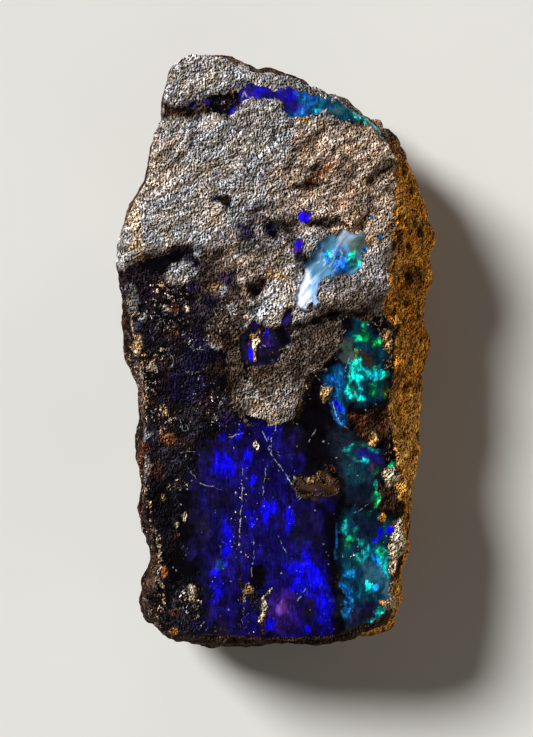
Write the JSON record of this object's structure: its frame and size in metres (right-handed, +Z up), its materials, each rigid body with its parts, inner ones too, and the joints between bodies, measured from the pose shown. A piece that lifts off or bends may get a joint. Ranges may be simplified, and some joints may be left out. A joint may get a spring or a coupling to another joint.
{
  "type": "rough boulder opal",
  "caption": "Rough stone of sandy ironstone with a broken face of dark, glossy precious opal, lying on its flat underside",
  "frame": {"origin": "middle of the bounding box's base, on the surface that the stone rests on", "axes": "+Y along the stone towards its narrower sandy end, +Z up towards the face with the opal, +X towards the ochre side"},
  "size_m": [0.0246, 0.046, 0.014],
  "materials": {
    "stone": "rough sandy ironstone with glossy dark opal"
  },
  "bodies": {
    "root": {"boulder_opal": "stone"}
  },
  "joints": []
}
